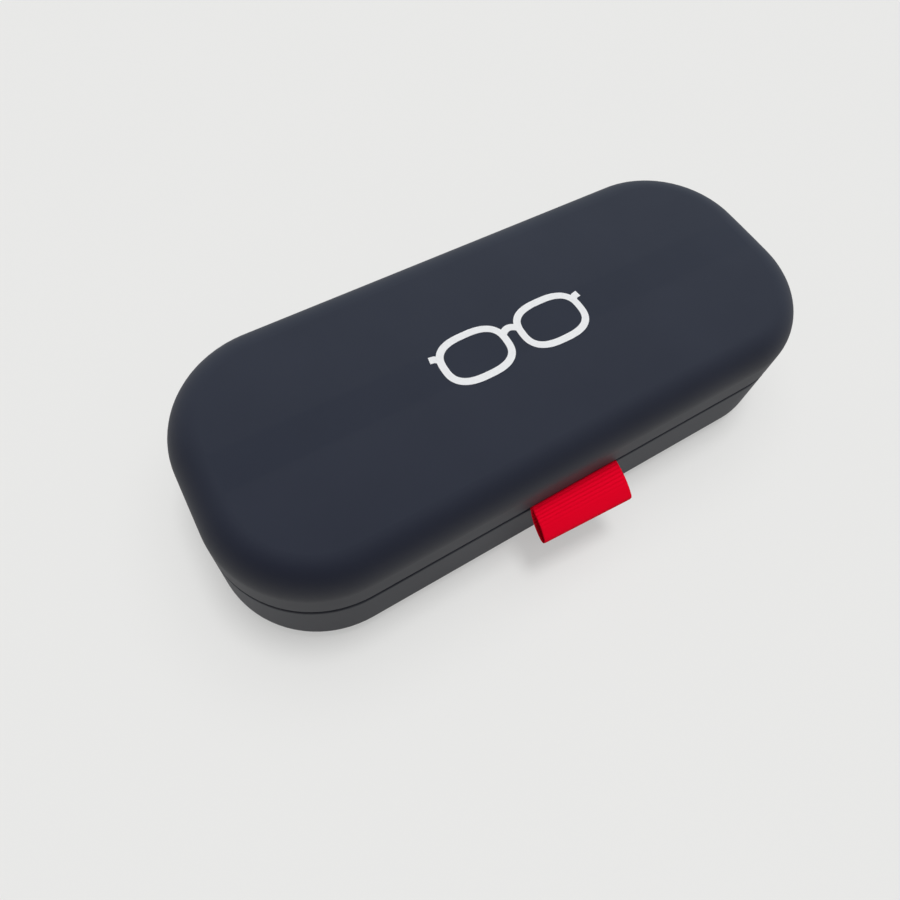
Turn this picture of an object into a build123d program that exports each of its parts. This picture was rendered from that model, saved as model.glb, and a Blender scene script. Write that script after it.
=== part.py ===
from build123d import *
import os

# A hard glasses case. Two pressed steel shells are covered with leatherette, lined with velvet
# on plastic trays, and joined at the back by a riveted snap hinge. A folded ribbon is the pull tab.
# X runs along the case, the hinge is towards +Y, the tab towards -Y, and Z is up from the table.
# The origin is the middle of the flat bottom. All sizes are in millimetres.

# Overall form
case_length = 160.0
case_width = 67.0
case_height = 38.0
corner_radius = 26.0  # of the plan, seen from above
parting_height = 21.5  # middle of the gap between base and lid
lid_edge_radius = 7.5  # between the lid's panel and its wall
base_edge_radius = 5.5
lid_crown = 1.2  # rise of the lid's panel from its front and back to its middle line

# Leatherette covers
cover_thickness = 0.8
lip_round = 0.7  # rounding where the cover is rolled over the rim
hem_thickness = 0.8
hem_end_gap = 2.8  # from the turned-in hem's edge to where the wall starts to round

# Steel shells
steel_thickness = 0.4
glue_line = 0.05  # between layers that are glued together

# Liner trays and velvet
tray_thickness = 0.6
tray_edge_step = 1.5  # how much smaller the tray's edge radius is than the cover's
tray_floor_gap = 0.15  # between the tray's floor and the steel panel
tray_flange_gap = 0.1  # between the tray's flange and the hem
velvet_thickness = 0.4
velvet_recess = 0.5  # how far the velvet rim lies inside the lip

# Hinge
hinge_length = 84.0
pin_radius = 0.8
pin_clearance = 0.05
pin_overhang = 0.4
pin_chamfer = 0.2
leaf_thickness = 0.6
leaf_gap = 0.05  # between the leaf and the steel it is riveted to
leaf_end_gap = 0.6  # from the leaf's far edge to where the wall starts to round
leaf_corner = 2.0
outer_knuckle = 15.0
cam_knuckle = 21.4
knuckle_gap = 0.3
knuckle_relief = 0.2  # between a knuckle and the edge of the other leaf
cam_radius = 1.8
opening_angle = 105.0
notch_height = 2.2  # of the opening in each back wall, from the hinge axis
notch_end_gap = 0.8

# Snap spring
spring_thickness = 0.4
spring_side_gap = 1.7  # from each end of the cam knuckle
spring_foot_gap = 0.3  # from the leaf's far edge
spring_top = 0.7  # above the hinge axis, where its curled end starts
spring_curl_radius = 0.9
spring_curl_angle = 40.0
spring_gap = 0.05  # between the spring and the flat on the cam

# Rivets
rivet_radius = 1.0
rivet_fit = 0.05
rivet_head_radius = 1.7
rivet_head_height = 0.4
rivet_tail_radius = 1.35
rivet_offset = 0.2  # from midway between the notch and the leaf's far edge, towards that edge
rivet_end = 8.0  # from the hinge's ends to the outer rivets
rivet_pitch = 16.0
spring_rivet_edge = 3.5  # from the spring's sides
head_clearance = 0.3  # between the tallest rivet head and the tray's wall

# Pull tab
tab_width = 24.5
tab_centre = -1.2
tab_ribbon = 0.25
tab_layer_gap = 0.05
tab_clearance = 0.05  # between the ribbon and the lid's lip
tab_base_clearance = 0.2  # between the ribbon and the base's lip
tab_tail_end = 0.4  # how far the tails inside the lid reach past the hem
tab_straight = 0.9  # level stretch between the lips
tab_droop_radius = 12.9
tab_droop_angle = 39.0
tab_fold_radius = 1.2
tab_fold_angle = 153.0
tab_lip_angle = 57.0  # how far the lower layer turns down over the base's lip
tab_notch_gap = 0.5  # beside the tab, in the rims of tray and velvet

# How far in from the outside each layer's faces lie
steel_outer = cover_thickness + glue_line
steel_inner = steel_outer + steel_thickness
hem_outer = steel_inner + glue_line
hem_inner = hem_outer + hem_thickness
leaf_inner = steel_inner + leaf_gap + leaf_thickness
flange_outer = hem_inner + tray_flange_gap
tray_outer = leaf_inner + spring_thickness + rivet_head_height + head_clearance
tray_inner = tray_outer + tray_thickness
velvet_outer = tray_inner + glue_line
velvet_inner = velvet_outer + velvet_thickness
tray_floor_outer = steel_inner + tray_floor_gap
tray_floor_inner = tray_floor_outer + tray_thickness
velvet_floor_outer = tray_floor_inner + glue_line
velvet_floor_inner = velvet_floor_outer + velvet_thickness

# The folded ribbon passes through the gap between the two lips
parting_gap = tab_clearance + 2 * tab_ribbon + tab_layer_gap + tab_base_clearance

# How far from the parting plane each layer starts, and how far the straight walls reach
lip = parting_gap / 2
steel_rim = lip + cover_thickness + glue_line
velvet_rim = lip + velvet_recess
tray_rim = velvet_rim + velvet_thickness + glue_line
lid_straight = case_height - lid_crown - lid_edge_radius - parting_height
base_straight = parting_height - base_edge_radius
wall_straight = min(lid_straight, base_straight)
hem_end = wall_straight - hem_end_gap

# The hinge axis lies in the parting plane, with the leaves inside the steel back wall
back = case_width / 2
barrel_radius = pin_radius + pin_clearance + leaf_thickness
leaf_face = back - leaf_inner
hinge_y = leaf_face + barrel_radius
base_knuckle_start = cam_knuckle / 2 + knuckle_gap
base_knuckle_end = hinge_length / 2 - outer_knuckle - knuckle_gap
hinge_cut_length = hinge_length + 2 * notch_end_gap
leaf_reach = wall_straight - leaf_end_gap
rivet_drop = (notch_height + leaf_reach) / 2 + rivet_offset
spring_width = cam_knuckle - 2 * spring_side_gap
crown_radius = ((case_width / 2) ** 2 + lid_crown**2) / (2 * lid_crown)

LID, BASE = 1, -1


def outline(inset):
    """Length, width and corner radius of the plan, moved in by the inset."""
    return case_length - 2 * inset, case_width - 2 * inset, corner_radius - inset


def level(side, distance):
    """Height of a level that lies a distance from the parting plane, on one half's side."""
    return parting_height + side * distance


def pan(side, wall, start, panel, edge_radius):
    """One half's form as a solid, from its open side at start to its panel."""
    far = case_height - panel if side == LID else panel
    with BuildPart() as form:
        with BuildSketch(Plane.XY.offset(level(side, start))):
            RectangleRounded(*outline(wall))
        extrude(amount=far - level(side, start))
        if side == LID:
            with BuildSketch(Plane.YZ):
                with Locations((0, case_height - crown_radius)):
                    Circle(crown_radius - panel)
            extrude(amount=case_length, both=True, mode=Mode.INTERSECT)
        panel_face = form.faces().sort_by(Axis.Z)[-1 if side == LID else 0]
        fillet(panel_face.edges(), edge_radius)
    return form.part


def back_cut(side, inner, outer, height, length):
    """A block that cuts through the back wall, between two insets, from the parting plane."""
    with BuildPart() as block:
        with BuildSketch(Plane.XY.offset(parting_height)):
            with Locations((0, back - (inner + outer) / 2)):
                Rectangle(length, inner - outer)
        extrude(amount=side * height)
    return block.part


def rivet(x, z, head_face, growth=0.0):
    """A rivet along Y: its head inside, and its flared tail flush with the steel's outside."""
    tail_face = back - steel_outer
    flare = tail_face - steel_thickness
    with BuildPart() as body:
        with BuildSketch(Plane(origin=(x, head_face, z))):
            with BuildLine():
                Line((0, 0), (0, -rivet_head_height))
                Line((0, -rivet_head_height), (rivet_radius, -rivet_head_height))
                Spline(
                    (rivet_radius, -rivet_head_height),
                    (rivet_head_radius, 0),
                    tangents=[(1, 0), (0, 1)],
                )
                Polyline(
                    (rivet_head_radius, 0),
                    (rivet_radius + growth, 0),
                    (rivet_radius + growth, flare - head_face),
                    (rivet_tail_radius + growth, tail_face - head_face),
                    (0, tail_face - head_face),
                    (0, 0),
                )
            make_face()
        revolve(axis=Axis((x, head_face, z), (0, 1, 0)))
    return body.part


def rivet_group(side, places, head_face, growth=0.0):
    """The rivets of one row, all with their heads on the same face."""
    return [rivet(x, level(side, rivet_drop), head_face, growth) for x in places]


def make_cover(side, edge_radius):
    """Leatherette skin, rolled over the rim and turned in as a hem on the steel's inside."""
    outside = pan(side, 0, lip, 0, edge_radius)
    cavity = pan(
        side, cover_thickness, lip + cover_thickness, cover_thickness, edge_radius - cover_thickness
    )
    overshoot = hem_thickness
    hinge_notch = back_cut(side, hem_inner + overshoot, -overshoot, notch_height, hinge_cut_length)
    hem_cut = back_cut(
        side, hem_inner + overshoot, cover_thickness, hem_end + overshoot, hinge_cut_length
    )
    with BuildPart() as cover:
        add(outside)
        with BuildSketch(Plane.XY.offset(level(side, lip))):
            RectangleRounded(*outline(hem_inner))
        extrude(amount=side * cover_thickness, mode=Mode.SUBTRACT)
        rim_edges = cover.edges().group_by(Axis.Z)[0 if side == LID else -1]
        fillet(rim_edges, lip_round)
        add(cavity, mode=Mode.SUBTRACT)
        with BuildSketch(Plane.XY.offset(level(side, lip + cover_thickness))):
            RectangleRounded(*outline(hem_outer))
            RectangleRounded(*outline(hem_inner), mode=Mode.SUBTRACT)
        extrude(amount=side * (hem_end - lip - cover_thickness))
        add(hinge_notch, mode=Mode.SUBTRACT)
        add(hem_cut, mode=Mode.SUBTRACT)
    return cover.part


def make_shell(side, edge_radius, rivet_holes):
    """Pressed steel shell, its edge inside the cover's rolled rim."""
    outside = pan(side, steel_outer, steel_rim, steel_outer, edge_radius - steel_outer)
    inside = pan(side, steel_inner, steel_rim, steel_inner, edge_radius - steel_inner)
    hinge_notch = back_cut(side, hem_inner, 0, notch_height, hinge_cut_length)
    with BuildPart() as shell:
        add(outside)
        add(inside, mode=Mode.SUBTRACT)
        add(hinge_notch, mode=Mode.SUBTRACT)
        for hole in rivet_holes:
            add(hole, mode=Mode.SUBTRACT)
    return shell.part


def make_liner(side, edge_radius, outer, inner, floor_outer, floor_inner, rim, thickness):
    """A lining layer: walls and floor, with a flange over the rim, notched for cam and tab."""
    edge_outer = edge_radius - tray_edge_step - (outer - tray_outer)
    edge_inner = edge_radius - tray_edge_step - (inner - tray_outer)
    outside = pan(side, outer, rim, floor_outer, edge_outer)
    inside = pan(side, inner, rim, floor_inner, edge_inner)
    notch_depth = tray_outer - flange_outer
    with BuildPart() as liner:
        add(outside)
        with BuildSketch(Plane.XY.offset(level(side, rim))):
            RectangleRounded(*outline(flange_outer))
        extrude(amount=side * thickness)
        add(inside, mode=Mode.SUBTRACT)
        with BuildSketch(Plane.XY.offset(level(side, rim))):
            with Locations((0, back - flange_outer - notch_depth / 2)):
                Rectangle(cam_knuckle + 2 * knuckle_gap, notch_depth)
            if side == LID:
                with Locations((tab_centre, notch_depth / 2 + flange_outer - back)):
                    Rectangle(tab_width + 2 * tab_notch_gap, notch_depth)
        extrude(amount=side * thickness, mode=Mode.SUBTRACT)
    return liner.part


def make_leaf(side, knuckles, slots, cam, rivet_holes):
    """A hinge leaf: a plate against the steel's inside, its knuckles on the hinge axis.

    Knuckles are (start, end) along X. Slots are (start, end, depth) for the other leaf's
    knuckles. Cam is the (start, end) of the cam knuckle, or None.
    """
    with BuildPart() as leaf:
        with BuildSketch(Plane.XZ.offset(-leaf_face)):
            with Locations((0, level(side, leaf_reach / 2))):
                plate = Rectangle(hinge_length, leaf_reach)
            fillet(plate.vertices().group_by(Axis.Y)[-1 if side == LID else 0], leaf_corner)
        extrude(amount=-leaf_thickness)
        with BuildSketch(Plane.XZ.offset(-leaf_face)):
            for start, end, depth in slots:
                with Locations(((start + end) / 2, parting_height)):
                    Rectangle(end - start, 2 * depth)
        extrude(amount=-leaf_thickness, mode=Mode.SUBTRACT)
        for start, end in knuckles:
            with BuildSketch(Plane.YZ.offset(start)):
                with Locations((hinge_y, parting_height)):
                    Circle(barrel_radius)
            extrude(amount=end - start)
        if cam:
            start, end = cam
            with BuildSketch(Plane.YZ.offset(start)):
                with Locations((hinge_y, parting_height)):
                    Circle(cam_radius)
            extrude(amount=end - start)
            # The spring rests on one flat when the lid is shut and on the other when it is open
            flat = barrel_radius - spring_gap
            with BuildSketch(Plane.YZ.offset(start)):
                with Locations((hinge_y, parting_height)):
                    with PolarLocations(flat + cam_radius, 2, 180, opening_angle, endpoint=True):
                        Rectangle(2 * cam_radius, 2 * cam_radius)
            extrude(amount=end - start, mode=Mode.SUBTRACT)
        with BuildSketch(Plane.YZ.offset(-hinge_length / 2)):
            with Locations((hinge_y, parting_height)):
                Circle(pin_radius + pin_clearance)
        extrude(amount=hinge_length, mode=Mode.SUBTRACT)
        for hole in rivet_holes:
            add(hole, mode=Mode.SUBTRACT)
    return leaf.part


def make_group(solids):
    """Identical pieces kept as separate solids of one group."""
    return Compound(children=solids)


# Rivets and their holes
half_hinge = hinge_length / 2
inner_rivet = half_hinge - rivet_end - rivet_pitch
outer_rivet = half_hinge - rivet_end
leaf_rivet_places = (-outer_rivet, -inner_rivet, inner_rivet, outer_rivet)
spring_rivet_place = spring_width / 2 - spring_rivet_edge
spring_rivet_places = (-spring_rivet_place, spring_rivet_place)
spring_face = leaf_face - spring_thickness
lid_rivets = rivet_group(LID, leaf_rivet_places, leaf_face)
lid_rivet_holes = rivet_group(LID, leaf_rivet_places, leaf_face, rivet_fit)
base_rivets = rivet_group(BASE, leaf_rivet_places, leaf_face)
spring_rivets = rivet_group(BASE, spring_rivet_places, spring_face)
spring_rivet_holes = rivet_group(BASE, spring_rivet_places, spring_face, rivet_fit)
base_rivet_holes = rivet_group(BASE, leaf_rivet_places, leaf_face, rivet_fit) + spring_rivet_holes

# Knuckles along the hinge, each as its start and end
lid_knuckles = [(-half_hinge, outer_knuckle - half_hinge), (half_hinge - outer_knuckle, half_hinge)]
base_knuckles = [
    (-base_knuckle_end, -base_knuckle_start),
    (base_knuckle_start, base_knuckle_end),
]
cam = (-cam_knuckle / 2, cam_knuckle / 2)
knuckle_slot = barrel_radius + knuckle_relief
cam_slot = cam_radius + knuckle_relief
lid_slots = [(s - knuckle_gap, e + knuckle_gap, knuckle_slot) for s, e in base_knuckles]
base_slots = [(s - knuckle_gap, e + knuckle_gap, knuckle_slot) for s, e in lid_knuckles]
base_slots.append((cam[0] - knuckle_gap, cam[1] + knuckle_gap, cam_slot))

# Hinge pin
with BuildPart() as hinge_pin:
    with BuildSketch(Plane.YZ.offset(-half_hinge - pin_overhang)):
        with Locations((hinge_y, parting_height)):
            Circle(pin_radius)
    extrude(amount=hinge_length + 2 * pin_overhang)
    chamfer(hinge_pin.edges(), pin_chamfer)

# Snap spring: a flat strip riveted to the base leaf, its curled end pressing on the cam
with BuildPart() as snap_spring:
    with BuildSketch(Plane.YZ.offset(-spring_width / 2)):
        with BuildLine():
            strip = Line(
                (leaf_face - spring_thickness / 2, level(BASE, leaf_reach - spring_foot_gap)),
                (leaf_face - spring_thickness / 2, level(LID, spring_top)),
            )
            JernArc(strip @ 1, strip % 1, spring_curl_radius, spring_curl_angle)
        trace(line_width=spring_thickness)
    extrude(amount=spring_width)
    for hole in spring_rivet_holes:
        add(hole, mode=Mode.SUBTRACT)

# Pull tab: one ribbon, both tails glued up inside the lid, folded back on itself outside
bend_y = hem_inner - lip_round - case_width / 2
bend_z = level(LID, lip + lip_round)
near_bend = lip_round + tab_clearance + tab_ribbon / 2
far_bend = near_bend + tab_ribbon + tab_layer_gap
base_lip = (lip_round - case_width / 2, level(BASE, lip + lip_round))
base_bend = lip_round + tab_base_clearance + tab_ribbon / 2
tail_top = level(LID, hem_end + tab_tail_end)
droop_y = bend_y - tab_straight
with BuildPart() as pull_tab:
    with BuildSketch(Plane.YZ.offset(tab_centre - tab_width / 2)):
        with BuildLine():
            Line((bend_y + near_bend, tail_top), (bend_y + near_bend, bend_z))
            CenterArc((bend_y, bend_z), near_bend, 0, -90)
            Line((bend_y, bend_z - near_bend), (droop_y, bend_z - near_bend))
            droop_centre = (droop_y, bend_z - near_bend - tab_droop_radius)
            droop = CenterArc(droop_centre, tab_droop_radius, 90, tab_droop_angle)
            fold = JernArc(droop @ 1, droop % 1, tab_fold_radius, tab_fold_angle)
            over_lip = CenterArc(base_lip, base_bend, 90 + tab_lip_angle, -tab_lip_angle)
            Spline(fold @ 1, over_lip @ 0, tangents=[fold % 1, over_lip % 0])
            Line(over_lip @ 1, (bend_y, bend_z - far_bend))
            CenterArc((bend_y, bend_z), far_bend, -90, 90)
            Line((bend_y + far_bend, bend_z), (bend_y + far_bend, tail_top))
        trace(line_width=tab_ribbon)
    extrude(amount=tab_width)

tray_faces = (tray_outer, tray_inner, tray_floor_outer, tray_floor_inner, tray_rim, tray_thickness)
velvet_faces = (
    velvet_outer,
    velvet_inner,
    velvet_floor_outer,
    velvet_floor_inner,
    velvet_rim,
    velvet_thickness,
)
pieces = {
    "lid_cover": make_cover(LID, lid_edge_radius),
    "lid_shell": make_shell(LID, lid_edge_radius, lid_rivet_holes),
    "lid_liner_tray": make_liner(LID, lid_edge_radius, *tray_faces),
    "lid_velvet": make_liner(LID, lid_edge_radius, *velvet_faces),
    "lid_hinge_leaf": make_leaf(LID, lid_knuckles, lid_slots, cam, lid_rivet_holes),
    "lid_hinge_rivets": make_group(lid_rivets),
    "pull_tab": pull_tab.part,
    "base_cover": make_cover(BASE, base_edge_radius),
    "base_shell": make_shell(BASE, base_edge_radius, base_rivet_holes),
    "base_liner_tray": make_liner(BASE, base_edge_radius, *tray_faces),
    "base_velvet": make_liner(BASE, base_edge_radius, *velvet_faces),
    "base_hinge_leaf": make_leaf(BASE, base_knuckles, base_slots, None, base_rivet_holes),
    "base_hinge_rivets": make_group(base_rivets),
    "hinge_pin": hinge_pin.part,
    "snap_spring": snap_spring.part,
    "snap_spring_rivets": make_group(spring_rivets),
}

os.makedirs("parts", exist_ok=True)
for name, piece in pieces.items():
    piece.label = name
    export_step(piece, f"parts/{name}.step")

print(f"hinge axis at y {hinge_y:.3f}, z {parting_height:.3f}")
print(f"cavity walls {velvet_inner:.2f} in, floor {velvet_floor_inner:.2f} up, rim {velvet_rim:.2f}")
print(f"tab from y {pull_tab.part.bounding_box().min.Y:.2f}, ribbon ends {tail_top:.2f} up")
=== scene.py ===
# %% [markdown]
# # A glasses case, dressed
# The solids of this case come ready from the CAD model, in metres. The bottom stands on z = 0, the
# hinge is towards +Y, the ribbon tab towards -Y. This lesson adds what CAD doesn't hold: the floor and
# the light, the camera, a finish for every piece, and the soft pieces as real cloth would lie.

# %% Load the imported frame
import math

import bpy
import numpy as np
from mathutils import Matrix, Vector, noise


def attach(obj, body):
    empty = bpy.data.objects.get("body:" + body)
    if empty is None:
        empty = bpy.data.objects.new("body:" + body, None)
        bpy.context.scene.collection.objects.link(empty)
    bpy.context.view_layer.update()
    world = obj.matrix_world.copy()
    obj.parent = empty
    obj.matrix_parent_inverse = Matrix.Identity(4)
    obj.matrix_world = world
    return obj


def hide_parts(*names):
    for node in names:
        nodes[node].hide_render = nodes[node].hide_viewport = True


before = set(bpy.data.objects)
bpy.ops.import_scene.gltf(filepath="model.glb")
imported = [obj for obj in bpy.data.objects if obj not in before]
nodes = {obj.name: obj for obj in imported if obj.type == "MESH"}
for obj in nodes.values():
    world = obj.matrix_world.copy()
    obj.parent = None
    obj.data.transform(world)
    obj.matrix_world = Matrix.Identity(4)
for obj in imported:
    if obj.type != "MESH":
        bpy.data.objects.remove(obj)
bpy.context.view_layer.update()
MM = 0.001

# %% [markdown]
# ## The camera
# The photograph looks down at about 57 degrees, from the front left, and is slightly rolled. The place,
# roll and lens were worked out from the outline of the case: its long side is 160 mm. The picture was cut
# square from a taller one, so the lens axis passes above its middle, and the camera gets that shift. A
# Track To constraint could aim the camera, but it can't hold the roll, so the matrix is built directly.

# %% Camera
AZIMUTH, ELEVATION, ROLL = math.radians(-37.418), math.radians(56.709), math.radians(8.097)
AIM = Vector((-5.386, 15.942, 15.0)) * MM
DISTANCE = 201.195 * MM
SENSOR, LENS = 36.0, 30.023
SHIFT_UP = -0.11234


def put(name, data):
    """A new object in the scene, made of a mesh, a lamp or a camera."""
    made = bpy.data.objects.new(name, data)
    bpy.context.scene.collection.objects.link(made)
    return made


towards_camera = Vector((
    math.sin(AZIMUTH) * math.cos(ELEVATION),
    -math.cos(AZIMUTH) * math.cos(ELEVATION),
    math.sin(ELEVATION),
))
level_right = (-towards_camera).cross(Vector((0, 0, 1))).normalized()
level_up = level_right.cross(-towards_camera)
right = level_right * math.cos(ROLL) + level_up * math.sin(ROLL)
up = level_up * math.cos(ROLL) - level_right * math.sin(ROLL)

camera_data = bpy.data.cameras.new("photo_camera")
camera_data.sensor_width = SENSOR
camera_data.lens = LENS
camera_data.shift_y = SHIFT_UP
camera_data.clip_start = 1 * MM
camera = put("photo_camera", camera_data)
camera.matrix_world = Matrix.Translation(AIM + towards_camera * DISTANCE) @ Matrix(
    (right, up, towards_camera)
).transposed().to_4x4()
bpy.context.scene.camera = camera
print("camera stands at", [round(v / MM, 1) for v in camera.location], "mm")

# %% [markdown]
# ## Finishes as formulas
# A material is a graph of nodes, but its maths reads better as Python. `Wire` wraps one socket, so
# `1 - mask` or `grain * 0.3` adds the Math nodes by itself. Every other node comes from `Finish.node`,
# which sets the node's settings first and then its inputs, as values or as links.

# %% Wire
class Wire:
    """A shader socket that takes part in sums."""

    def __init__(self, graph, socket):
        self.graph = graph
        self.socket = socket

    def math(self, operation, first, second):
        return self.graph.node("ShaderNodeMath", {"operation": operation}, {0: first, 1: second})

    def __add__(self, other):
        return self.math("ADD", self, other)

    def __sub__(self, other):
        return self.math("SUBTRACT", self, other)

    def __rsub__(self, other):
        return self.math("SUBTRACT", other, self)

    def __mul__(self, other):
        return self.math("MULTIPLY", self, other)

    __radd__ = __add__
    __rmul__ = __mul__


print("sockets can be added, subtracted and multiplied")

# %% Graph
class Graph:
    """A node tree that is written as formulas: of a material, or of the world around the case."""

    def __init__(self, tree):
        self.tree = tree

    def node(self, kind, settings=None, values=None, output=0):
        """A node of any kind, its settings set first. Returns one of its outputs as a Wire."""
        made = self.tree.nodes.new(kind)
        for name, value in (settings or {}).items():
            if name == "stops":
                self.set_stops(made.color_ramp, value)
            else:
                setattr(made, name, value)
        for socket, value in (values or {}).items():
            self.feed(made.inputs[socket], value)
        return Wire(self, made.outputs[output])

    def set_stops(self, ramp, stops):
        while len(ramp.elements) < len(stops):
            ramp.elements.new(0.5)
        for element, (place, colour) in zip(ramp.elements, stops):
            element.position, element.color = place, (*colour, 1)

    def feed(self, socket, value):
        if isinstance(value, Wire):
            self.tree.links.new(value.socket, socket)
        else:
            socket.default_value = value

    def blend(self, mask, low, high):
        """A colour that goes from low to high with the mask. Mix's colour sockets go by number."""
        low, high = (c if isinstance(c, Wire) else (*c, 1) for c in (low, high))
        return self.node("ShaderNodeMix", {"data_type": "RGBA"}, {0: mask, 6: low, 7: high}, 2)

    def ramp(self, mask, *stops):
        """A colour curve through (place, colour) stops."""
        return self.node("ShaderNodeValToRGB", {"stops": stops}, {"Fac": mask})

    def sight(self):
        """1 for rays that show something in the picture, straight, by gloss or through glass."""
        rays = ("Is Camera Ray", "Is Glossy Ray", "Is Transmission Ray")
        return sum(self.node("ShaderNodeLightPath", output=ray) for ray in rays)


print("node trees can be written as formulas")

# %% Finish
class Finish(Graph):
    """One material: a Principled shader with its plain values, ready for what varies over the surface."""

    def __init__(self, name, **plain):
        self.material = bpy.data.materials.new(name)
        self.material.use_nodes = True
        super().__init__(self.material.node_tree)
        self.tree.nodes.clear()
        self.shader = self.tree.nodes.new("ShaderNodeBsdfPrincipled")
        self.surface = self.tree.nodes.new("ShaderNodeOutputMaterial").inputs["Surface"]
        self.feed(self.surface, Wire(self, self.shader.outputs[0]))
        for socket, value in plain.items():
            self.shader.inputs[socket.replace("_", " ")].default_value = value

    def drive(self, **wires):
        """Feeds wires to the shader's sockets, such as Base_Color or Normal."""
        for socket, wire in wires.items():
            self.feed(self.shader.inputs[socket.replace("_", " ")], wire)

    def place(self):
        """Where a point of the surface is, in metres in the shared frame."""
        return self.node("ShaderNodeTexCoord", output="Object")

    def stretched(self, x, y, z):
        """The place with each axis scaled, for grain that runs one way."""
        return self.node(
            "ShaderNodeVectorMath", {"operation": "MULTIPLY"}, {0: self.place(), 1: (x, y, z)}
        )

    def noise(self, size, detail=2.0, where=None):
        """Cloudy values from 0 to 1, with blotches of about the given size in millimetres."""
        return self.node(
            "ShaderNodeTexNoise",
            values={"Vector": where or self.place(), "Scale": 1 / (size * MM), "Detail": detail},
            output="Fac",
        )

    def bump(self, height, depth):
        """A normal for relief of that depth, in millimetres."""
        return self.node(
            "ShaderNodeBump", values={"Height": height, "Distance": depth * MM}, output="Normal"
        )

    def give(self, *names):
        """Puts this finish on CAD nodes, in place of the plain colour they came with."""
        for name in names:
            nodes[name].data.materials.clear()
            nodes[name].data.materials.append(self.material)


print("finishes are ready to be written as formulas")

# %% [markdown]
# ## The floor
# The case stands on a sheet of matt white paper. A plane is enough, if it is wide enough that its far
# edge stays out of sight, and a faint mottle keeps it from looking like an empty picture. The photograph's
# shadows are faint, as under many lamps. More lamps would also flood the case, so a share of what the eye
# sees of the paper is a flat pale glow instead. Only rays of sight meet it, and it lights nothing.

# %% Floor
FLOOR_HALF = 4.0
FLOOR_COLOUR = (0.82, 0.82, 0.81)
MOTTLE_SHADE = 0.985  # how dark the mottle's other end is, next to the paper's colour
GLOW_SHARE = 0.52


def make_mesh(name, points, faces):
    """A mesh from points in metres, and faces that name their points by number."""
    made = bpy.data.meshes.new(name)
    made.from_pydata(points, [], faces)
    made.update()
    return made


corners = [(sx * FLOOR_HALF, sy * FLOOR_HALF, 0) for sx, sy in ((-1, -1), (1, -1), (1, 1), (-1, 1))]
floor_mesh = make_mesh("floor", corners, [(0, 1, 2, 3)])
floor = put("floor", floor_mesh)
paper = Finish("matt_paper", Roughness=0.9, Specular_IOR_Level=0.2)
paper.drive(Base_Color=paper.blend(
    paper.noise(60, 1.0), FLOOR_COLOUR, tuple(MOTTLE_SHADE * c for c in FLOOR_COLOUR)
))
pale_glow = paper.node("ShaderNodeEmission", values={"Color": (*FLOOR_COLOUR, 1)})
paper.feed(paper.surface, paper.node("ShaderNodeMixShader", values={
    0: paper.sight() * GLOW_SHARE, 1: Wire(paper, paper.shader.outputs[0]), 2: pale_glow,
}))
floor_mesh.materials.append(paper.material)
print("floor", 2 * FLOOR_HALF, "m wide")

# %% [markdown]
# ## Soft light from above
# A photographer would hang a large diffuser over the case. Two suns with wide discs do the same without
# falling off towards the edges of the floor: a broad one for the soft shading and a narrower one for the
# shadow under the tab. Both lean a little to the back right, so the shadows gather at the front left.
# Their strengths and the room's add up to 1, the level at which a colour looks as it is written. The
# lamps don't show in reflections, because the room below is what the gloss reflects.

# %% Lamps
def soft_sun(name, share, spread, towards):
    """A sun with a disc that many degrees wide, which gives that share of the light."""
    data = bpy.data.lights.new(name, "SUN")
    data.energy = math.pi * share
    data.angle = math.radians(spread)
    sun = put(name, data)
    sun.rotation_euler = Vector(towards).to_track_quat("Z", "Y").to_euler()
    sun.visible_glossy = False


BROAD_SHARE, NARROW_SHARE, ROOM_SHARE = 0.40, 0.46, 0.14
soft_sun("broad_diffuser", BROAD_SHARE, 60, (0.12, 0.10, 1))
soft_sun("overhead_lamp", NARROW_SHARE, 16, (0.09, 0.05, 1))
print("light shares", BROAD_SHARE, NARROW_SHARE, ROOM_SHARE)

# %% [markdown]
# ## The room that the gloss reflects
# Soft leatherette shows its surroundings as wide light and dark zones. This room is brighter and bluer
# towards a window at the back right, and dim at the front left, so the lid's rounded edge turns dark at the
# front and light at the back. A picture of a studio would do this too, but a few colours along one
# direction are enough. Rays of sight meet these colours; the rest get the room's plain share of light.

# %% Room
WINDOW_WAY = (0.6, 0.8, 0.0)
ROOM_GLOW = (  # place from dim side to window side, colour
    (0.20, (0.06, 0.06, 0.08)),
    (0.44, (0.16, 0.18, 0.22)),
    (0.56, (0.46, 0.51, 0.62)),
    (0.72, (0.78, 0.88, 1.00)),
    (0.95, (0.80, 0.92, 1.00)),
)

room = bpy.data.worlds.new("room")
room.use_nodes = True
bpy.context.scene.world = room
bpy.context.scene.view_settings.view_transform = "Standard"
around = Graph(room.node_tree)
background = room.node_tree.nodes["Background"]
way = around.node("ShaderNodeTexCoord", output="Generated")
window_side = around.node(
    "ShaderNodeVectorMath", {"operation": "DOT_PRODUCT"}, {0: way, 1: WINDOW_WAY}, "Value"
)
glow = around.ramp(window_side * 0.5 + 0.5, *ROOM_GLOW)
around.feed(background.inputs["Color"], around.blend(around.sight(), (ROOM_SHARE,) * 3, glow))
print("the room glows in", len(ROOM_GLOW), "steps")

# %% [markdown]
# ## The covers
# The skin of the case is thin synthetic leather with a soft-touch coat, glued over the steel. It is nearly
# smooth: its grain is about a tenth of a millimetre, and it is dull enough that even the walls, which are
# seen at a flat angle over the white paper, stay dark. A bump from fine noise gives the grain. Handling
# polishes the coat a little, so cloudy noise is taken off its roughness.

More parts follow.
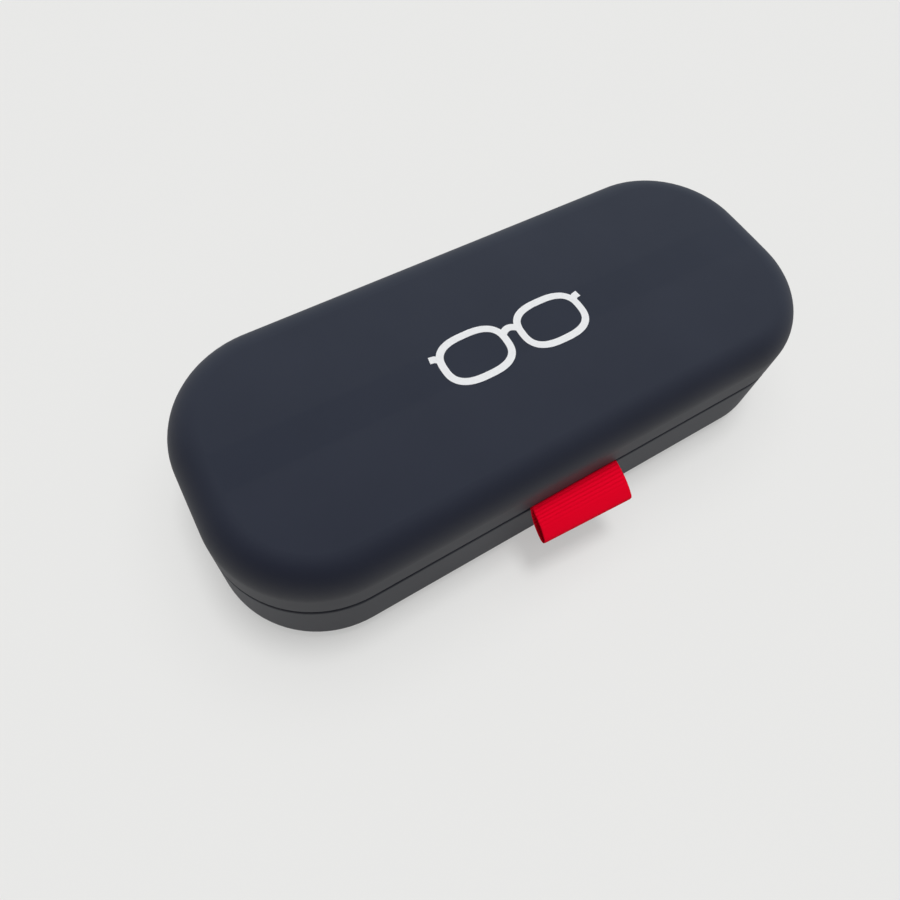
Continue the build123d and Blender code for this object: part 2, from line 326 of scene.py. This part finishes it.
# %% Leatherette
leatherette = Finish("soft_touch_leatherette", Specular_IOR_Level=0.69)
fine_grain = leatherette.noise(0.12, 3.0)
handling = leatherette.noise(22, 3.0)
leatherette.drive(
    Base_Color=leatherette.blend(handling, (0.0080, 0.0096, 0.0186), (0.0102, 0.0120, 0.0228)),
    Roughness=0.70 - handling * 0.06,
    Normal=leatherette.bump(fine_grain, 0.004),
)
leatherette.give("lid_cover", "base_cover")
print("covers dressed")

# %% [markdown]
# ## Steel under the skin
# The two shells are pressed from thin sheet. Deep drawing leaves fine scratches along the case, so the
# noise is stretched along X. They show only past the rims, but an open case is looked into.

# %% Sheet steel
sheet_steel = Finish("pressed_sheet_steel", Metallic=1.0)
draw_marks = sheet_steel.noise(0.4, 2.0, sheet_steel.stretched(0.04, 1.0, 1.0))
sheet_steel.drive(
    Base_Color=sheet_steel.blend(draw_marks, (0.38, 0.38, 0.39), (0.52, 0.52, 0.53)),
    Roughness=0.32 + draw_marks * 0.2,
    Normal=sheet_steel.bump(draw_marks, 0.006),
)
sheet_steel.give("lid_shell", "base_shell")
print("shells dressed")

# %% [markdown]
# ## Hinge, pin, spring and rivets
# Leaves and rivets are nickel-plated, which is warmer than bare steel. The pin is drawn wire with marks
# along its length, and the spring is blued by its hardening. One function makes all four finishes from
# two colours, because they differ only in colour, gloss and the way their marks run.

# %% Hinge metals
MARK_SIZE, CLOUD_SIZE = 0.25, 3.0  # in millimetres


def metal(name, low, high, gloss, along):
    """A satin metal whose marks run along the axes with a small value in along."""
    made = Finish(name, Metallic=1.0)
    marks = made.noise(MARK_SIZE, 2.0, made.stretched(*along))
    cloud = made.noise(CLOUD_SIZE, 2.0)
    made.drive(
        Base_Color=made.blend(cloud, low, high),
        Roughness=gloss + marks * 0.15,
        Normal=made.bump(marks, 0.003),
    )
    return made


nickel = metal("nickel_plate", (0.56, 0.54, 0.50), (0.66, 0.64, 0.60), 0.24, (0.08, 1.0, 1.0))
nickel.give("lid_hinge_leaf", "base_hinge_leaf")
rivet_plate = metal("rivet_plate", (0.60, 0.59, 0.56), (0.70, 0.69, 0.66), 0.20, (1.0, 1.0, 1.0))
rivet_plate.give("lid_hinge_rivets", "base_hinge_rivets", "snap_spring_rivets")
wire_steel = metal("drawn_wire", (0.50, 0.50, 0.50), (0.60, 0.60, 0.60), 0.22, (0.05, 1.0, 1.0))
wire_steel.give("hinge_pin")
blued_spring = metal("blued_spring", (0.10, 0.12, 0.20), (0.24, 0.24, 0.30), 0.25, (1.0, 1.0, 0.08))
blued_spring.give("snap_spring")
print("hinge metals dressed")

# %% [markdown]
# ## Liner trays
# The trays are black plastic sheet, formed hot over a mould with vacuum. Such sheet keeps a faint orange
# peel, about a millimetre across, and a dull sheen.

# %% Tray plastic
tray_plastic = Finish("formed_plastic")
peel = tray_plastic.noise(1.0, 2.0)
tray_plastic.drive(
    Base_Color=tray_plastic.blend(peel, (0.018, 0.018, 0.020), (0.024, 0.024, 0.027)),
    Roughness=0.42 + peel * 0.12,
    Normal=tray_plastic.bump(peel, 0.01),
)
tray_plastic.give("lid_liner_tray", "base_liner_tray")
print("trays dressed")

# %% [markdown]
# ## The velvet as a skin
# Velvet over a formed tray is one stretched skin: over the rim with a soft bend, down the wall, and round
# into the floor. The CAD model holds it as a plain solid. Here it is lofted: each row of points is the
# plan of the case moved in by some inset, at some height, and the rows follow the section of the skin.
# A front face and a back face 0.4 mm apart are joined at the rim, so the skin has real thickness.

# %% Plan of the case
LENGTH, WIDTH, HEIGHT, CORNER = 160.0, 67.0, 38.0, 26.0
PARTING, CROWN = 21.5, 1.2
CROWN_RADIUS = ((WIDTH / 2) ** 2 + CROWN**2) / (2 * CROWN)
ARC_POINTS, STRAIGHT_STEP = 25, 0.5


def plan(inset):
    """The outline of the case, moved in by the inset: one row of x and y, in millimetres."""
    half_x, half_y, radius = LENGTH / 2 - CORNER, WIDTH / 2 - CORNER, CORNER - inset
    row = []
    for quarter, (sx, sy) in enumerate(((1, 1), (-1, 1), (-1, -1), (1, -1))):
        turn = np.radians(90 * quarter + np.linspace(0, 90, ARC_POINTS))
        middle = np.array((sx * half_x, sy * half_y))
        corner = middle + radius * np.stack([np.cos(turn), np.sin(turn)], 1)
        side_length = 2 * (half_x if quarter % 2 == 0 else half_y)
        way = np.array((-np.sin(turn[-1]), np.cos(turn[-1])))
        straight = corner[-1] + way * np.arange(STRAIGHT_STEP, side_length, STRAIGHT_STEP)[:, None]
        row += [corner, straight]
    return np.concatenate(row)


print("one row around the case has", len(plan(0)), "points")

# %% Section of the skin
RIM_DEPTH, FLANGE_INSET, NOTCH_INSET = 0.9, 2.2, 3.0
PILE_INSET, PILE_FLOOR, PILE_THICKNESS = 4.05, 2.45, 0.4
RIM_BEND = 0.6
RIM_ROWS, WALL_ROWS, BEND_ROWS = 7, 12, 10
FLOOR_INSETS = (12.0, 16.0, 20.0)  # the flat floor's rows; one face closes the last


def skin_section(floor_bend, back):
    """Rows as inset, depth below the rim's plane or above the floor, and share of the floor's depth."""
    bend = RIM_BEND - back
    top, bottom = RIM_DEPTH + RIM_BEND, -floor_bend
    rows = [(FLANGE_INSET, RIM_DEPTH + back, 0), (NOTCH_INSET, RIM_DEPTH + back, 0)]
    for turn in np.radians(np.linspace(0, 90, RIM_ROWS)):
        rows.append((PILE_INSET - RIM_BEND + bend * math.sin(turn), top - bend * math.cos(turn), 0))
    for share in np.linspace(0, 1, WALL_ROWS)[1:-1]:
        rows.append((PILE_INSET - back, top * (1 - share) + bottom * share, share))
    for turn in np.radians(np.linspace(0, 90, BEND_ROWS)):
        reach = floor_bend + back
        rows.append((PILE_INSET + floor_bend - reach * math.cos(turn), bottom + reach * math.sin(turn), 1))
    rows += [(inset, back, 1) for inset in FLOOR_INSETS]
    return rows


print("the skin's section has", len(skin_section(3.0, 0)), "rows")

# %% Points of the skin
RIBBON_WIDTH, RIBBON_MIDDLE, RIBBON_PLAY = 24.5, -1.2, 0.5
CAM_HALF, TAB_NOTCH_HALF = 11.0, RIBBON_WIDTH / 2 + RIBBON_PLAY
WALL_REACH = 1.0  # points this near the front or the back belong to its long wall
NOTCH_STEP = 0.05  # keeps the rim's edge in a notch apart from the row beside it


def skin_points(side, floor_bend, back):
    """All points of one face of the skin, row by row. Side is 1 in the lid and -1 in the base."""
    edge = plan(0)
    wall_from = WIDTH / 2 - WALL_REACH
    notched = (edge[:, 1] > wall_from) & (abs(edge[:, 0]) < CAM_HALF)
    if side > 0:
        notched |= (edge[:, 1] < -wall_from) & (abs(edge[:, 0] - RIBBON_MIDDLE) < TAB_NOTCH_HALF)
    rows = []
    for inset, offset, share in skin_section(floor_bend, back):
        spots = plan(inset)
        if inset == FLANGE_INSET:
            spots[notched] = plan(NOTCH_INSET - NOTCH_STEP)[notched]
        whole = np.full(len(spots), PARTING - PILE_FLOOR)
        if side > 0:
            sunk = CROWN_RADIUS - np.sqrt(CROWN_RADIUS**2 - spots[:, 1] ** 2)
            whole = HEIGHT - PARTING - PILE_FLOOR - sunk
        rows.append(np.column_stack([spots, PARTING + side * (offset + share * whole)]))
    return rows


print("the rim of the lid's skin is notched for the cam and the tab")

# %% Loft of a skin
WAVE_SIZE, WAVE_DEPTH = 14.0, 0.05


def skin_mesh(name, side, floor_bend):
    """Front and back face, joined at the rim's edge, each closed by one face on the floor."""
    front = np.concatenate(skin_points(side, floor_bend, 0))
    behind = np.concatenate(skin_points(side, floor_bend, PILE_THICKNESS))
    waves = [noise.noise(Vector(p) / WAVE_SIZE) for p in front.tolist()]
    lift = np.outer(np.clip(np.array(waves), -1, 1) * WAVE_DEPTH, (0, 0, side))
    size = len(plan(0))
    count = len(front) // size
    faces = []
    for start, order in ((0, 1), (len(front), -1)):
        for i in range(count - 1):
            for j in range(size):
                k = (j + 1) % size
                quad = [start + i * size + j, start + i * size + k,
                        start + (i + 1) * size + k, start + (i + 1) * size + j]
                faces.append(quad[:: order * side])
        last = [start + (count - 1) * size + j for j in range(size)]
        faces.append(last[:: order * side])
    for j in range(size):
        k = (j + 1) % size
        faces.append([j, len(front) + j, len(front) + k, k][::side])
    points = np.concatenate([front + lift, behind + lift]) * MM
    mesh = make_mesh(name, points.tolist(), faces)
    mesh.shade_smooth()
    return mesh


print("the pile waves by", WAVE_DEPTH, "mm")

# %% The two skins
LID_FLOOR_BEND, BASE_FLOOR_BEND = 4.95, 2.95
LID_BLANK, BASE_BLANK = (0.180, 0.085), (0.185, 0.090)  # cut sizes, in metres


def lay_skin(name, body, side, floor_bend, flat):
    """Puts one velvet skin into its tray, in place of the CAD solid."""
    skin = put(name, skin_mesh(name, side, floor_bend))
    area = sum(face.area for face in skin.data.polygons) / 2
    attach(skin, body)
    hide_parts(f"{body}_velvet")
    print(name, f"{area:.4f} m2 formed from {flat[0] * flat[1]:.4f} m2 flat")
    return skin


lid_skin = lay_skin("lid_velvet_skin", "lid", 1, LID_FLOOR_BEND, LID_BLANK)
base_skin = lay_skin("base_velvet_skin", "base", -1, BASE_FLOOR_BEND, BASE_BLANK)

# %% [markdown]
# ## Short pile
# Short-pile velvet looks darkest face on and glows at its edges, which is what the sheen layer of the
# shader is for. Where fingers have brushed it, the pile leans another way and looks lighter or darker.

# %% Velvet
velvet = Finish("short_pile_velvet", Sheen_Weight=0.7, Sheen_Roughness=0.35,
                Sheen_Tint=(0.55, 0.6, 0.75, 1), Specular_IOR_Level=0.1)
brushed = velvet.noise(9, 3.0)
pile = velvet.noise(0.22, 2.0)
velvet.drive(
    Base_Color=velvet.blend(brushed, (0.014, 0.017, 0.028), (0.034, 0.038, 0.055)),
    Roughness=0.8 + pile * 0.15,
    Normal=velvet.bump(pile, 0.12),
)
for skin in (lid_skin, base_skin):
    skin.data.materials.append(velvet.material)
print("velvet dressed")

# %% [markdown]
# ## The ribbon's path
# The pull tab is one piece of ribbed ribbon, about 34 mm long. Both ends are glued up inside the lid's
# front wall. Outside, it bends down against its own stiffness, folds back in an open loop, and comes home
# over the lip of the base. The path is drawn in the YZ plane first, from arcs and one smooth run.

# %% Stretches of a path
def arc(centre, radius, start, turn, steps=48):
    """Points of an arc in the YZ plane; angles in degrees."""
    angles = np.radians(np.linspace(start, start + turn, steps))
    return np.stack([centre[0] + radius * np.cos(angles), centre[1] + radius * np.sin(angles)], 1)


def run(start, end, steps=60):
    """Points of a straight run."""
    return np.linspace(start, end, steps)


def heading(degrees):
    """The unit vector that points that many degrees round from +Y."""
    return np.array((math.cos(math.radians(degrees)), math.sin(math.radians(degrees))))


def glide(start, start_way, end, end_way, steps=120):
    """A smooth run that leaves and arrives in given directions."""
    t = np.linspace(0, 1, steps)[:, None]
    reach = np.linalg.norm(np.subtract(end, start))
    return (
        (2 * t**3 - 3 * t**2 + 1) * start
        + (t**3 - 2 * t**2 + t) * start_way * reach
        + (3 * t**2 - 2 * t**3) * end
        + (t**3 - t**2) * end_way * reach
    )


print("a path can hold arcs, straight runs and glides")

# %% Path of the ribbon
LID_LIP, BASE_LIP = (-32.1, 22.6), (-32.8, 20.4)  # y and z of the middles of the rolled lips
NEAR_BEND, FAR_BEND, BASE_BEND = 0.875, 1.175, 1.025
TAIL_TOP = 26.9
DROOP_Y, DROOP_RADIUS, DROOP_ANGLE = -33.0, 12.9, 39.0
FOLD_RADIUS, FOLD_ANGLE = 1.2, 153.0
LIP_ANGLE = 57.0

upper_z, lower_z = LID_LIP[1] - NEAR_BEND, LID_LIP[1] - FAR_BEND
droop = arc((DROOP_Y, upper_z - DROOP_RADIUS), DROOP_RADIUS, 90, DROOP_ANGLE)
fold_start = 90 + DROOP_ANGLE
fold = arc(droop[-1] - FOLD_RADIUS * heading(fold_start), FOLD_RADIUS, fold_start, FOLD_ANGLE)
over_lip = arc(BASE_LIP, BASE_BEND, 90 + LIP_ANGLE, -LIP_ANGLE)
tails_y = LID_LIP[0] + NEAR_BEND, LID_LIP[0] + FAR_BEND
pieces = [
    run((tails_y[0], TAIL_TOP), (tails_y[0], LID_LIP[1])),
    arc(LID_LIP, NEAR_BEND, 0, -90),
    run((LID_LIP[0], upper_z), (DROOP_Y, upper_z)),
    droop,
    fold,
    glide(fold[-1], heading(fold_start + FOLD_ANGLE + 90), over_lip[0], heading(LIP_ANGLE)),
    over_lip,
    run((BASE_LIP[0], lower_z), (LID_LIP[0], lower_z)),
    arc(LID_LIP, FAR_BEND, -90, 90),
    run((tails_y[1], LID_LIP[1]), (tails_y[1], TAIL_TOP)),
]
path = np.concatenate(pieces)
moved = np.linalg.norm(np.diff(path, axis=0), axis=1) > 1e-6
path = path[np.concatenate([[True], moved])]
along = np.concatenate([[0], np.cumsum(np.linalg.norm(np.diff(path, axis=0), axis=1))])
lengths = [np.linalg.norm(np.diff(piece, axis=0), axis=1).sum() for piece in pieces]
ribbon_length = along[-1]
leaves_lid, mid_fold, back_home = sum(lengths[:3]), sum(lengths[:4]) + lengths[4] / 2, sum(lengths[:7])
print(f"ribbon is {ribbon_length:.1f} mm long and reaches y {path[:, 0].min():.2f} mm")

# %% [markdown]
# ## Ribs swept across the width
# A plane with a bump would look flat at its edge, so the ribs are real: the ribbon's thickness swells over
# each weft cord, and the path is swept across the width. The cords are drawn tight where the ribbon bends
# at the fold, so the ribs fade there. The fold was made by hand, so it is not quite square to the case.

# %% Ribs
RIB_PITCH, SAMPLES_PER_RIB = 0.87, 8
RIB_FULLNESS = 0.7  # below 1, the cords are wider than the grooves
THIN, THICK = 0.17, 0.29  # between the cords and over them
SMOOTH_WITHIN, RIBBED_BEYOND = 3.5, 6.5  # distance from the fold along the ribbon
SMOOTH_CORD = 0.6  # the even level where the ribs fade; 0 is a groove, 1 the top of a cord

count = int(ribbon_length / RIB_PITCH * SAMPLES_PER_RIB)
travel = np.linspace(0, ribbon_length, count)
centre_line = np.stack([np.interp(travel, along, path[:, k]) for k in (0, 1)], 1)
tangent = np.gradient(centre_line, axis=0)
tangent /= np.linalg.norm(tangent, axis=1)[:, None]
outward = np.stack([tangent[:, 1], -tangent[:, 0]], 1)
faded = np.interp(abs(travel - mid_fold), (SMOOTH_WITHIN, RIBBED_BEYOND), (0, 1))
swell = np.abs(np.sin(np.pi * travel / RIB_PITCH)) ** RIB_FULLNESS
cord = SMOOTH_CORD + (swell - SMOOTH_CORD) * faded
half = (THIN + (THICK - THIN) * cord) / 2
print("ribs along the ribbon:", int(ribbon_length / RIB_PITCH))

# %% Faces of the ribbon
ACROSS, CROWDING = 64, 0.85  # points across; below 1, they crowd towards the edges
SELVEDGE, EDGE_SHARE = 0.5, 0.25  # width of the thinner edge, and the thickness left at its end
FOLD_SLIDE, HOME_SLIDE, LEAN = -0.9, -0.2, 0.59

across = np.linspace(-1, 1, ACROSS)
across = np.sign(across) * np.abs(across) ** CROWDING
edge = np.clip((1 - np.abs(across)) * RIBBON_WIDTH / 2 / SELVEDGE, 0, 1)
taper = np.sqrt(1 - (1 - edge) ** 2) * (1 - EDGE_SHARE) + EDGE_SHARE
slide = np.interp(travel, (leaves_lid, mid_fold, back_home), (0, FOLD_SLIDE, HOME_SLIDE))
out = np.sin(np.pi / 2 * np.interp(travel, (leaves_lid, mid_fold, back_home), (0, 1, 0)))


def ribbon_face(sign):
    """The points of one face of the ribbon, as rows along its length."""
    offset = sign * half[:, None] * taper[None, :]
    x = RIBBON_MIDDLE + across[None, :] * RIBBON_WIDTH / 2 + slide[:, None]
    y = centre_line[:, :1] + outward[:, :1] * offset - LEAN * across[None, :] * out[:, None]
    z = centre_line[:, 1:] + outward[:, 1:] * offset
    return np.stack([x, y, z * np.ones_like(x)], 2).reshape(-1, 3)


print("points of one face:", len(ribbon_face(1)))

# %% Ribbon mesh
points = np.concatenate([ribbon_face(1), ribbon_face(-1)]) * MM
under = count * ACROSS
last = (count - 1) * ACROSS
faces = []
for i in range(count - 1):
    for j in range(ACROSS - 1):
        quad = [i * ACROSS + j, i * ACROSS + j + 1, (i + 1) * ACROSS + j + 1, (i + 1) * ACROSS + j]
        faces += [quad, [under + spot for spot in quad[::-1]]]
    for j, order in ((0, 1), (ACROSS - 1, -1)):
        a, d = i * ACROSS + j, (i + 1) * ACROSS + j
        faces.append([a, d, under + d, under + a][::order])
for j in range(ACROSS - 1):
    faces.append([j + 1, j, under + j, under + j + 1])
    faces.append([last + j, last + j + 1, under + last + j + 1, under + last + j])
ribbon_mesh = make_mesh("ribbon_tab", points.tolist(), faces)
ribbon_mesh.shade_smooth()
# how far each point stands over a cord; the yarn's colour reads it as painted shade in the grooves
over_cord = ribbon_mesh.attributes.new("over_cord", "FLOAT", "POINT")
over_cord.data.foreach_set("value", np.tile(np.repeat(cord, ACROSS), 2))
ribbon = put("ribbon_tab", ribbon_mesh)
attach(ribbon, "lid")
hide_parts("pull_tab")
print("ribbon faces", len(faces))

# %% [markdown]
# ## Red yarn
# The yarn is dull and strongly dyed. Over a cord it lies open to the light, and between two cords it sinks
# into its own shade, deeper than these low ribs could cast it. So each point of the mesh carries how far
# it stands over a cord, and the colour paints that light and shade on: lighter over the cords, painted
# shade in the grooves, with a little fuzz from the yarn.

# %% Red grosgrain
FUZZ_SHARE = 0.15  # the cords take the rest

grosgrain = Finish("red_grosgrain", Specular_IOR_Level=0.05)
fuzz = grosgrain.noise(0.3, 3.0)
painted_rib_shade = grosgrain.node("ShaderNodeAttribute", {"attribute_name": "over_cord"}, output="Fac")
# painted shade and light: the red is darker in the grooves and lighter over the cords
grosgrain.drive(
    Base_Color=grosgrain.blend(
        painted_rib_shade * (1 - FUZZ_SHARE) + fuzz * FUZZ_SHARE, (0.62, 0.0003, 0.010), (0.90, 0.0008, 0.024)
    ),
    Roughness=0.7 + fuzz * 0.15,
    Normal=grosgrain.bump(fuzz, 0.01),
)
ribbon_mesh.materials.append(grosgrain.material)
print("ribbon dressed")

# %% [markdown]
# ## A printed sign
# The middle of the lid carries a small white print. A plain sign for a pair of glasses suits any case of
# this kind. Screen ink is a film of its own, a few hundredths of a millimetre thick, so each stroke is a
# thin strip that follows the lid's crown: its height is found by casting a ray down onto the cover.

# %% Strokes of the sign
SIGN_MIDDLE = (0.7, -0.2)
INK_WIDTH, INK_HEIGHT, INK_DEPTH = 1.8, 0.03, 0.02
INK_STEP = 0.008  # how much lower the strokes lie that run into another one
LENS_MIDDLE, LENS_HALF, LENS_POWER = 10.7, (8.5, 6.0), 2.7
LUG = ((18.9, 2.6), (20.0, 3.3), (21.2, 3.5))
BRIDGE_HALF, BRIDGE_LOW, BRIDGE_RISE, BRIDGE_POINTS = 2.2, 1.7, 1.1, 17


def lens_line(middle, steps=96):
    """A rounded lens outline: a circle pulled towards a rectangle by its power."""
    turn = np.linspace(0, 2 * np.pi, steps, endpoint=False)
    circle = np.stack([np.cos(turn), np.sin(turn)], 1)
    return np.sign(circle) * np.abs(circle) ** (2 / LENS_POWER) * LENS_HALF + (middle, 0)


sweep = np.linspace(-1, 1, BRIDGE_POINTS)
bridge = np.stack([sweep * BRIDGE_HALF, BRIDGE_LOW + BRIDGE_RISE * (1 - sweep**2)], 1)
strokes = [
    (lens_line(-LENS_MIDDLE), True),
    (lens_line(LENS_MIDDLE), True),
    (bridge, False),
    (np.array(LUG), False),
    (np.array(LUG) * (-1, 1), False),
]
print("strokes", len(strokes))

# %% Ink on the lid
lid_cover = nodes["lid_cover"]
to_cover = lid_cover.matrix_world.inverted()
RAY_START = HEIGHT + 10.0  # well above the lid
ink_points, ink_faces = [], []


def lid_height(x, y):
    """Height of the lid's top at a place, in millimetres."""
    start = to_cover @ (Vector((x, y, RAY_START)) * MM)
    cast = lid_cover.ray_cast(start, to_cover.to_3x3() @ Vector((0, 0, -1)))
    return (lid_cover.matrix_world @ cast[1]).z / MM


def add_stroke(line, closed):
    """A strip of ink along a line, with a top, a bottom and sides. An open one ends inside another."""
    height = INK_HEIGHT if closed else INK_HEIGHT - INK_STEP
    ahead = np.roll(line, -1, 0) - np.roll(line, 1, 0) if closed else np.gradient(line, axis=0)
    aside = np.stack([-ahead[:, 1], ahead[:, 0]], 1)
    aside *= INK_WIDTH / 2 / np.linalg.norm(aside, axis=1)[:, None]
    first = len(ink_points)
    for spot, side_step in zip(line + SIGN_MIDDLE, aside):
        for sign, level in ((1, height), (-1, height), (-1, -INK_DEPTH), (1, -INK_DEPTH)):
            x, y = spot + sign * side_step
            ink_points.append((x, y, lid_height(x, y) + level))
    size = len(line)
    for i in range(size if closed else size - 1):
        here, there = first + 4 * i, first + 4 * ((i + 1) % size)
        for k in range(4):
            m = (k + 1) % 4
            ink_faces.append((here + k, there + k, there + m, here + m))
    if not closed:
        ink_faces.append(tuple(first + k for k in range(4)))
        ink_faces.append(tuple(first + 4 * (size - 1) + k for k in (3, 2, 1, 0)))


for line, closed in strokes:
    add_stroke(line, closed)
ink_mesh = make_mesh("printed_sign", (np.array(ink_points) * MM).tolist(), ink_faces)
sign_print = put("printed_sign", ink_mesh)
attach(sign_print, "lid")
ink = Finish("white_screen_ink", Specular_IOR_Level=0.4)
mottle = ink.noise(0.6, 2.0)
ink.drive(
    Base_Color=ink.blend(mottle, (0.76, 0.77, 0.78), (0.84, 0.85, 0.86)),
    Roughness=0.45 + mottle * 0.1,
    Normal=ink.bump(mottle, 0.005),
)
ink_mesh.materials.append(ink.material)
print("ink faces", len(ink_faces))
